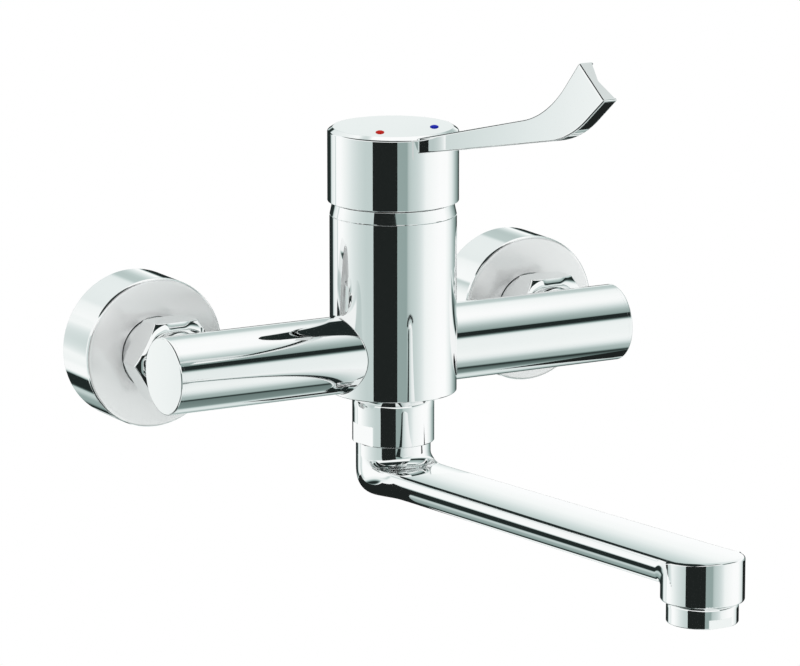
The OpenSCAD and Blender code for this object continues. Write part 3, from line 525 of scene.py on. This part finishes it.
def bent(run, rise, radius, turn, start, length):
    """Points and headings along a straight run that rises at an angle, bends upwards, and ends straight."""
    rise, turn = math.radians(rise), math.radians(turn)
    straight = np.minimum(length, run)
    swing = np.clip((length - run) / radius, 0, turn)
    tip = np.maximum(length - run - radius * turn, 0)
    d = (start[0] + straight * math.cos(rise) + radius * (np.sin(rise + swing) - math.sin(rise))
         + tip * math.cos(rise + turn))
    z = (start[1] + straight * math.sin(rise) - radius * (np.cos(rise + swing) - math.cos(rise))
         + tip * math.sin(rise + turn))
    return np.stack([d, z], -1), rise + swing


def line_length(line, tip):
    """Length of an edge line: its straight run, its bend and its tip."""
    run, _, radius, turn, _ = line
    return run + radius * math.radians(turn) + tip


def lever():
    """The fin: sections square to its middle line, each a rectangle with rounded edges that reaches from
    the lower edge line to the upper one. Its half thickness widens at the root along the arc of a ball of
    radius FLARE rolled between fin and cap. The tip is a flat face with a rounded border. The sections'
    first and last points aren't joined, so the side towards +x is open."""
    edge = 0.75
    top_all, low_all = line_length(TOP_LINE, TOP_TIP), line_length(LOW_LINE, LOW_TIP)
    t = np.concatenate([np.linspace(-0.035, 0.04, 40), np.linspace(0.045, 0.6, 30),
                        np.linspace(0.61, 1.0, 60)])
    t = np.minimum(t, 1 - edge / top_all)
    top, top_way = bent(*TOP_LINE, t * top_all)
    low, low_way = bent(*LOW_LINE, t * low_all)
    middle, tall = (top + low) / 2, np.linalg.norm(top - low, axis=1) / 2
    upright = unit(top - low)
    onward = np.stack([upright[:, 1], -upright[:, 0]], -1)
    d = middle[:, 0]
    ball_d = math.sqrt((CAP_R + FLARE) ** 2 - (FIN + FLARE) ** 2)
    touch_d = ball_d * CAP_R / (CAP_R + FLARE)
    inward = np.clip(ball_d - d, 0, ball_d - touch_d)
    wide = FIN + FLARE - np.sqrt(FLARE ** 2 - inward ** 2)
    lean = np.where(d > touch_d, inward / np.sqrt(FLARE ** 2 - inward ** 2), 0)
    v = np.concatenate([np.linspace(k, k + 1, 7) * math.pi / 2 for k in range(4)])
    sx = np.repeat([1, -1, -1, 1], 7)
    sz = np.repeat([1, 1, -1, -1], 7)

    def section(pick, ahead, inset, lift):
        """The picked sections moved ahead, drawn in by the inset, their normals tilted forwards by lift."""
        m, u, o = middle[pick], upright[pick], onward[pick]
        across = sx * (wide[pick][:, None] - edge) + (edge - inset) * np.cos(v)
        rise = sz * (tall[pick][:, None] - edge) + (edge - inset) * np.sin(v)
        flat = m[:, None] + rise[..., None] * u[:, None] + ahead * o[:, None]
        way = np.where(sz > 0, top_way[pick][:, None], low_way[pick][:, None])
        back = np.sin(way) * np.sin(v) - np.abs(np.cos(v)) * lean[pick][:, None]
        n = unit(np.stack([np.cos(v) + 0 * way, back, np.cos(way) * np.sin(v)], -1))
        front = np.broadcast_to(np.stack([0 * o[:, 0], -o[:, 0], o[:, 1]], -1)[:, None], n.shape)
        n = unit(math.cos(lift) * n + math.sin(lift) * front)
        return np.stack([across, -flat[..., 0], flat[..., 1]], -1), n

    border = [section(slice(-1, None), edge * math.sin(k), edge * (1 - math.cos(k)), k)
              for k in np.linspace(0, math.pi / 2, 6)]
    parts = [section(slice(None), 0.0, 0.0, 0.0)] + border
    p = np.concatenate([q[0] for q in parts])
    n = np.concatenate([q[1] for q in parts])
    root, tip = (np.broadcast_to(q.mean(1, keepdims=True), q.shape) for q in (p[:1], p[-1:]))
    p = np.concatenate([root, p, tip])
    n = np.concatenate([n[:1] * 0 + np.array([0, 1.0, 0]), n, n[-1:]])
    n[-1] = n[-2].mean(0)
    return [(p, n)]


piece("cap_and_lever", [revolve(cap, "z", centre, ring_of(240))] + on_body_axis(lever()),
      chrome, "handle", "chrome", ["lever_handle"])

dot = outline([(0, 77.6), (1.49, 77.6, 0.02), (1.49, 78.45, 0.25), (0.75, 78.8, 0.9), (0, 78.85)])
for name, slot, x, enamel in (("hot", "hot_red", -9.8, red_enamel), ("cold", "cold_blue", 11.6, blue_enamel)):
    piece(f"{name}_dot", [revolve(dot, "z", (x, BODY_Y - 8.2, 0), ring_of(48))],
          enamel, "handle", slot, [f"{name}_mark"])

# ---------------------------------------------------------------- collar, spout and aerator


def flatted(radius, flat, across, place, low, step, edge):
    """Reach of a round shell with two spanner flats at its lower end. across is the part of the direction
    that is square to the flats; low is the lower end, step the height where the flats stop, and edge the
    radius of the lower edge."""
    above = np.clip((place - step) / 0.06, 0, 1)
    full = radius - edge * (1 - np.sqrt(1 - np.clip(1 - (place - low) / edge, 0, 1) ** 2))
    return np.minimum(flat / np.maximum(across, 0.2), full) * (1 - above) + full * above


def edge_and(low, edge, places):
    """Places close together over the rounded lower edge, and then the given ones."""
    return np.unique(np.concatenate([low + edge * (1 - np.cos(np.linspace(0, math.pi / 2, 6))), places]))


def collar_reach(angle, place):
    """The flats are 7 high and turned 8 degrees."""
    across = np.abs(np.cos(angle - math.radians(8)))
    return flatted(14.25, 13.1, across, place, -32.3, -25.3, 0.35)


heights = edge_and(-32.3, 0.35, [-31.9, -28, -25.31, -25.3, -25.27, -25.24, -25.23, -20, -14.5])
piece("collar", radial(collar_reach, ring_of(288), heights, "z", centre, (13.02, 0.0)),
      chrome, "mixer_body", "chrome", ["collar_nut"])

RISE, TOP_Z = math.radians(3.25), -40.1
STUB_R, DRUM_R, REACH, DEPTH = 13.0, 13.5, 200.0, 12.2


def on_arm(p):
    """Height above the arm's flat top and distance along the arm."""
    return ((p[..., 2] - TOP_Z) * math.cos(RISE) + p[..., 1] * math.sin(RISE),
            -p[..., 1] * math.cos(RISE) + (p[..., 2] - TOP_Z) * math.sin(RISE))


def half_width(along):
    """The arm widens evenly from 23.2 to 26.5."""
    return 11.6 + 1.65 * along / REACH


def easing(x):
    """0 below 0, 1 above 1, smooth between."""
    x = np.clip(x, 0, 1)
    return x * x * (3 - 2 * x)


def stub_wall(p):
    """Upright cylinder under the collar."""
    return np.hypot(p[..., 0], p[..., 1]) - STUB_R


def underside(p):
    """Elbow and arm in one: width and depth to a power sum to one. Behind the stub's axis the width is the
    distance from that axis, so the section turns with the stub; in front it is the distance sideways.
    The power falls from 2.8, a tight corner, to 1.95 across the stub's axis."""
    w, s = on_arm(p)
    ahead = -p[..., 1]
    power = 2.8 - 0.85 * easing((ahead + 5) / 17)
    wide = STUB_R + (half_width(ahead) - STUB_R) * easing(ahead / 20)
    across = np.where(ahead < 0, np.hypot(p[..., 0], p[..., 1]), np.abs(p[..., 0]))
    a, b = across / wide, np.maximum(-w, 0) / DEPTH
    q = np.maximum((a ** power + b ** power) ** (1 / power), 1e-3)
    steep = np.hypot((a / q) ** (power - 1) / wide, (b / q) ** (power - 1) / DEPTH)
    return np.maximum((q - 1) / steep, s - REACH * math.cos(RISE))


def drum(p):
    """Outlet drum at the arm's end."""
    return round_corner(np.hypot(p[..., 0], p[..., 1] + REACH) - DRUM_R, -(p[..., 2] + 42.94), 0.5)


lower_side = blended(underside, drum, 3.4)


def spout(p, side=lower_side):
    """Everything under the slightly crowned top of the arm or inside the stub, with a fillet of 4 between
    the two, cut by the sides and underside with a thin rounded edge, and over the elbow by the stub's
    lid."""
    w, s = on_arm(p)
    top = w + 0.33 * (p[..., 0] / half_width(s)) ** 2
    over = hollow_corner(stub_wall(p), top, 4.0)
    edge = np.maximum(1.0 * np.clip(1 - w / 4, 0, 1) * easing(-p[..., 1] / 6), 1e-3)
    lid = np.minimum(p[..., 2] + 32.45, p[..., 1] + 40)
    return np.maximum(round_corner(over, side(p), edge), lid)


def steps(*spans):
    """Values from span to span: (start, end, step)."""
    runs = [np.linspace(a, b, max(2, round((b - a) / d) + 1)) for a, b, d in spans]
    return np.unique(np.round(np.concatenate(runs), 6))


# Across the arm as a share of its half width, along it, and above its top
a = steps((-1.26, -1.04, 0.03), (-1.04, -0.9, 0.012), (-0.9, 0.9, 0.03), (0.9, 1.04, 0.012),
          (1.04, 1.26, 0.03))
s = steps((-15.5, 4, 0.42), (4, 18, 0.22), (18, 22, 0.42), (22, 178, 3.0), (178, 183, 0.8), (183, 216, 0.36))
w = steps((-15.6, -1.4, 0.45), (-1.4, 0.3, 0.13), (0.3, 4.5, 0.2), (4.5, 8.6, 0.4))
A, S, W = np.meshgrid(a, s, w, indexing="ij")
grid = np.stack([A * half_width(np.clip(S, 0, REACH)), -S * math.cos(RISE) + W * math.sin(RISE),
                 TOP_Z + W * math.cos(RISE) + S * math.sin(RISE)], -1)
points, normals, faces = net(spout, lambda p: spout(p, lambda q: np.minimum(underside(q), drum(q))), grid)
from_arrays("cast_spout", points + np.array([0, BODY_Y, 0]), normals, faces,
            chrome, "spout_arm", ["spout"])


def aerator_reach(angle, place):
    """The flats are 3 high."""
    return flatted(11.6, 10.75, np.abs(np.sin(angle)), place, -50.14, -47.14, 0.4)


heights = edge_and(-50.14, 0.4, [-49.6, -48, -47.16, -47.14, -47.11, -47.08, -47.06, -45, -42.9])
outlet = (0, BODY_Y - REACH, 0)
shell = radial(aerator_reach, ring_of(240), heights, "z", outlet, (9.4, 0.0))
lip = revolve(outline([(9.4, -50.14), (9.4, -47.0, 0.2), (0, -47.0)]), "z", outlet)
piece("aerator_sleeve", shell + [(lip[0], -lip[1])], chrome, "spout_arm", "chrome", ["aerator_shell"])

# ---------------------------------------------------------------- studio

world = bpy.data.worlds.new("studio")
bpy.context.scene.world = world
world.use_nodes = True
tree = world.node_tree


def grey(level):
    """A neutral grey of that sRGB level, made linear."""
    return linear(f"{round(level):02X}" * 3)


def tone(level):
    """That level with the faint cool green that the photograph's chrome has in its middle tones."""
    lift = 4 * (level / 255) * (1 - level / 255)
    return linear("".join(f"{min(255, round(level + add_on * lift)):02X}" for add_on in (0, 18, 15)))


def ramp(value, low, high, stops, colour=grey):
    """Tone read off a list of (place, level) between low and high."""
    share = add(tree, "ShaderNodeMapRange", {"Value": value, "From Min": low, "From Max": high}).outputs[0]
    made = add(tree, "ShaderNodeValToRGB", {"Fac": share})
    held = made.color_ramp.elements
    while len(held) < len(stops):
        held.new(0.5)
    for e, (place, level) in zip(held, stops):
        e.position = (place - low) / (high - low)
    for e, (place, level) in zip(held, stops):
        e.color = colour(level)
    return made.outputs["Color"]


def mixed(kind, factor, a, b):
    """Two colours mixed, multiplied and so on."""
    made = add(tree, "ShaderNodeMix", data_type="RGBA", blend_type=kind)
    for socket, value in ((made.inputs[0], factor), (made.inputs[6], a), (made.inputs[7], b)):
        if isinstance(value, bpy.types.NodeSocket):
            tree.links.new(value, socket)
        else:
            socket.default_value = value
    return made.outputs[2]


def within(turns, lifts):
    """Mask of a region: the product of a ramp by azimuth and one by elevation."""
    return mixed("MULTIPLY", 1.0, ramp(turn, -180, 180, turns), ramp(lift, -90, 90, lifts))


toward = add(tree, "ShaderNodeSeparateXYZ", {"Vector": add(tree, "ShaderNodeTexCoord").outputs["Generated"]})
minus_y = add(tree, "ShaderNodeMath", {0: toward.outputs[1], 1: -1.0}, operation="MULTIPLY").outputs[0]
turn = add(tree, "ShaderNodeMath", {0: toward.outputs[0], 1: minus_y}, operation="ARCTAN2").outputs[0]
turn = add(tree, "ShaderNodeMath", {0: turn}, operation="DEGREES").outputs[0]
lift = add(tree, "ShaderNodeMath", {0: toward.outputs[2]}, operation="ARCSINE").outputs[0]
lift = add(tree, "ShaderNodeMath", {0: lift}, operation="DEGREES").outputs[0]
BLACK = linear("202020")


def everywhere(value, limit, stops, colour=grey):
    """A ramp over a whole turn (limit 180) or from nadir to zenith (limit 90)."""
    return ramp(value, -limit, limit, stops, colour)


# In front: by azimuth from straight ahead towards the right, which upright walls show.
round_front = everywhere(turn, 180, [
    (-180, 250), (-156, 244), (-152.4, 247), (-151.4, 190), (-150.6, 192), (-149.6, 214), (-148.7, 240),
    (-147.9, 253), (-134, 252), (-119, 237), (-105, 219), (-92, 205), (-79, 194), (-66, 194), (-60, 150),
    (-5, 145), (-2.5, 178), (3, 190), (9, 197), (14, 204), (20, 215), (26, 229), (29, 238), (32, 242),
    (39, 246), (46, 249), (60, 254), (180, 254)])
# Times the tone by elevation, which the bars show.
up_front = everywhere(lift, 90, [
    (-90, 150), (-61, 109), (-59.2, 40), (-58, 40), (-56, 160), (-50, 174), (-45, 208), (-40, 235),
    (-34, 250), (-28, 255), (-23, 255), (4, 255), (12, 250), (15, 225), (18.5, 105), (21.5, 34), (30.2, 33),
    (31.4, 140),
    (35, 157), (39, 165), (44, 185), (48, 204), (52.6, 226), (56.5, 243), (60, 254), (90, 254)])
front = mixed("MULTIPLY", 1.0, round_front, up_front)
# All but the right: the tones by azimuth alone near the horizon, and away from it light, but black above 40
# degrees.
left_mask = everywhere(turn, 180, [(-180, 255), (24, 255), (27, 0), (180, 0)])
up_left = everywhere(lift, 90, [(-90, 238), (0, 238), (1, 250), (37, 250), (40, 33), (86, 33), (88, 254),
                                (90, 254)])
off_level = everywhere(lift, 90, [(-90, 255), (-30, 255), (-26, 0), (14.5, 0), (16, 255), (90, 255)])
left = mixed("MIX", off_level, round_front, up_left)
front = mixed("MIX", left_mask, front, left)
# Behind: by elevation, black where upright walls turn away.
up_back = everywhere(lift, 90, [
    (-90, 150), (-61, 130), (-57, 215), (-49, 227), (-40, 190), (-33, 110), (-26, 40), (3, 33), (6, 250),
    (8, 249), (10, 234), (12, 222), (17, 190), (20, 183), (33, 195), (43, 241), (55, 254), (90, 254)])
behind = everywhere(turn, 180, [
    (-180, 255), (-171, 255), (-170, 222), (-166, 120), (-156, 40), (-153, 0), (80, 0), (90, 100), (96, 130),
    (110, 203), (131, 250), (140, 255), (180, 255)])
pattern = mixed("MIX", behind, front, up_back)
# Low on the left: black, which the elbow's lower corner and the small edges under the castings show.
low_left = within([(-180, 255), (-85, 255), (-60, 0), (180, 0)], [(-90, 255), (-36, 255), (-31, 0), (90, 0)])
pattern = mixed("MIX", low_left, pattern, BLACK)
# Straight behind, above: black up to 17 degrees, then light.
far_high = within([(-180, 255), (-166, 255), (-163, 0), (162, 0), (165, 255), (180, 255)],
                  [(-90, 0), (-2, 0), (1, 255), (90, 255)])
up_far = everywhere(lift, 90, [(-90, 33), (17, 33), (19, 226), (45, 240), (60, 254), (90, 254)])
pattern = mixed("MIX", far_high, pattern, up_far)
# Straight behind, below: grey, black and light by azimuth.
far_low = within([(-180, 255), (-156, 255), (-153, 0), (147, 0), (151, 255), (180, 255)],
                 [(-90, 255), (-19, 255), (-16.5, 0), (90, 0)])
round_far = everywhere(turn, 180, [
    (-180, 195), (-177, 188), (-175.5, 33), (-164.5, 33), (-162.5, 250), (147, 215), (154, 235), (157.5, 248),
    (158.7, 33), (163.5, 33), (165, 110), (168, 143), (174, 150), (180, 195)])
pattern = mixed("MIX", far_low, pattern, round_far)
tinted = ramp(pattern, 0, 1, [(0, 0), *[(grey(v)[0], v) for v in (33, 100, 145, 194, 226, 245)], (1, 255)],
              tone)
# Chrome takes a little of the light away, and the studio gives it back.
GAIN = 1.07
path = add(tree, "ShaderNodeLightPath")
reflected = mixed("MULTIPLY", 1.0, tinted, (GAIN, GAIN, GAIN, 1))
seen = mixed("MIX", path.outputs["Is Glossy Ray"], (1, 1, 1, 1), reflected)
tree.links.new(seen, tree.nodes["Background"].inputs["Color"])


def plain(name, hex_code, strength=None):
    """A matt colour, or light of that strength."""
    m = bpy.data.materials.new(name)
    m.use_nodes = True
    shader = m.node_tree.nodes["Principled BSDF"]
    shader.inputs["Base Color"].default_value = linear(hex_code)
    shader.inputs["Roughness"].default_value = 0.9
    if strength is not None:
        shader.inputs["Base Color"].default_value = (0, 0, 0, 1)
        shader.inputs["Specular IOR Level"].default_value = 0
        shader.inputs["Emission Color"].default_value = linear(hex_code)
        shader.inputs["Emission Strength"].default_value = strength
    return m


def card(name, corners, material, only_reflected=True):
    """A flat stage card through its corners, in metres."""
    mesh = bpy.data.meshes.new(name)
    mesh.from_pydata(corners, [], [list(range(len(corners)))])
    mesh.materials.append(material)
    made = bpy.data.objects.new(name, mesh)
    bpy.context.scene.collection.objects.link(made)
    if only_reflected:
        made.visible_camera = made.visible_diffuse = False
        made.visible_shadow = made.visible_transmission = False
    return made


NEAR_BLACK = "202423"
flag = plain("black_flag", NEAR_BLACK, 1.0)
card("flag_left", [(-0.725, -0.391, -1.6), (-0.936, -2.371, -3.2),
                   (-0.936, -2.371, 0.62), (-0.725, -0.391, 0.25)], flag)
card("flag_right", [(0.292, -0.186, -0.2), (0.15, 0.007, -0.2),
                    (0.15, 0.007, -0.098), (0.292, -0.186, -0.098)], flag)


def front_only(material):
    """Lets a card be seen from its front alone."""
    tree = material.node_tree
    clear = add(tree, "ShaderNodeMixShader", {0: add(tree, "ShaderNodeNewGeometry").outputs["Backfacing"],
                                              1: tree.nodes["Principled BSDF"].outputs[0],
                                              2: add(tree, "ShaderNodeBsdfTransparent").outputs[0]})
    tree.links.new(clear.outputs[0], tree.nodes["Material Output"].inputs["Surface"])
    return material


def over_arm(x, s, w):
    """A place over the arm, in metres: across, along and above its top."""
    s, w = s * MM, w * MM
    return (x * MM, BODY_Y * MM - s * math.cos(RISE) + w * math.sin(RISE),
            TOP_Z * MM + w * math.cos(RISE) + s * math.sin(RISE))


# Small cards by the part, each seen from one side alone. The first, seen from below, shades the spout's top
# and draws its left edge.
canopy = front_only(plain("canopy_over_spout", "FFFFFF", GAIN))
tree = canopy.node_tree
place = add(tree, "ShaderNodeTexCoord").outputs["Object"]
across = add(tree, "ShaderNodeSeparateXYZ", {"Vector": place}).outputs[0]
shades = ramp(across, -0.016, 0.03, [(-0.016, 33), (-0.0076, 33), (-0.007, 186), (-0.004, 204), (0.001, 230),
                                     (0.006, 244), (0.014, 250), (0.03, 252)], tone)
tree.links.new(shades, tree.nodes["Principled BSDF"].inputs["Emission Color"])
card("canopy_over_spout", [over_arm(x, s, 2.2) for x, s in ((-16, 20), (30, 20), (30, 214.5), (-16, 214.5))],
     canopy)
dark = front_only(plain("dark_card", NEAR_BLACK, 1.0))
inner, outer = range(175, 346, 10), range(345, 174, -10)
visor = [(radius, math.radians(k)) for radius, span in ((13.3, inner), (21.0, outer)) for k in span]
card("visor_over_drum", [(r * math.cos(k) * MM, (BODY_Y - REACH + r * math.sin(k)) * MM, -26.4 * MM)
                         for r, k in visor][::-1], dark)
elbow = (-25, -80), (45, -80), (45, -53), (-25, -53)
card("dark_behind_elbow", [(x * MM, -30 * MM, z * MM) for x, z in elbow], dark)
root = [(-22.3, 70), (-31, 70), (-31, 82), (-22.3, 82)]
card("beside_lever_root", [(-4.5 * MM, (BODY_Y + y) * MM, z * MM) for y, z in root],
     front_only(plain("pale_card", "D2D6D5", 1.0)))
# Centre of the card over the tip, and half its width and depth
over_tip = np.array([12.0, -183.5, 135.5])
wide, deep = np.array([12.2, 0, -6.8]), np.array([-1.1, 13.8, -1.9])
signs = (-1, -1), (-1, 1), (1, 1), (1, -1)
card("over_lever_tip", [tuple((over_tip + i * wide + j * deep) * MM) for i, j in signs],
     front_only(plain("grey_card", "DDE3E2", 1.0)))
floor_edge = [k * FULL / 48 for k in range(48)]
floor = card("floor", [(1.2 * math.cos(k), 1.2 * math.sin(k) - 0.15, -0.95) for k in floor_edge],
             plain("pale_floor", "F4F4F2"), False)
floor.visible_glossy = False

bpy.context.scene.view_settings.view_transform = "Standard"
